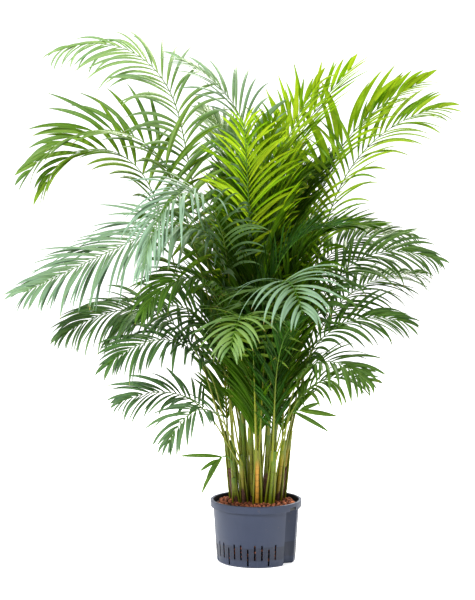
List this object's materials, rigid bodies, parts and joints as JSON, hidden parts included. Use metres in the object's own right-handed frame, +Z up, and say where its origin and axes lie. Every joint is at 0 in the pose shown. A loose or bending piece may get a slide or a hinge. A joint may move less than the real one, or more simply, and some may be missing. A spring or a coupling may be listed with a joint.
{
  "type": "potted palm",
  "caption": "Clump-forming feather palm: upright ringed canes fan out into long arching fronds of narrow leaflets, set in clay granules in a round slotted plastic pot with a gauge channel.",
  "frame": {"origin": "centre of the pot's flat underside, on the surface that the plant stands on", "axes": "+Z up along the pot's axis, -Y towards the front of the plant, with the gauge channel at the front right"},
  "size_m": [1.3298, 1.0013, 1.6369],
  "materials": {
    "pot_plastic": "satin moulded",
    "fired_clay": "rough, porous",
    "cane": "smooth, waxy",
    "frond": "leathery, faintly shiny"
  },
  "bodies": {
    "root": {"culture_pot": "pot_plastic", "clay_granules": "fired_clay", "cane_01": "cane", "cane_02": "cane", "cane_03": "cane", "cane_04": "cane", "cane_05": "cane", "cane_06": "cane", "cane_07": "cane", "cane_08": "cane", "cane_09": "cane", "cane_10": "cane", "cane_11": "cane", "cane_12": "cane", "cane_13": "cane", "cane_14": "cane", "cane_15": "cane", "cane_16": "cane", "frond_01": "frond", "frond_02": "frond", "frond_03": "frond", "frond_04": "frond", "frond_05": "frond", "frond_06": "frond", "frond_07": "frond", "frond_08": "frond", "frond_09": "frond", "frond_10": "frond", "frond_11": "frond", "frond_12": "frond", "frond_13": "frond", "frond_14": "frond", "frond_15": "frond", "frond_16": "frond", "frond_17": "frond", "frond_18": "frond", "frond_19": "frond", "frond_20": "frond", "frond_21": "frond", "frond_22": "frond", "frond_23": "frond", "frond_24": "frond", "frond_25": "frond", "frond_26": "frond", "frond_27": "frond", "frond_28": "frond", "frond_29": "frond", "frond_30": "frond", "frond_31": "frond", "frond_32": "frond", "frond_33": "frond", "frond_34": "frond", "frond_35": "frond", "frond_36": "frond", "frond_37": "frond", "frond_38": "frond", "frond_39": "frond", "frond_40": "frond", "frond_41": "frond", "frond_42": "frond"}
  },
  "joints": []
}
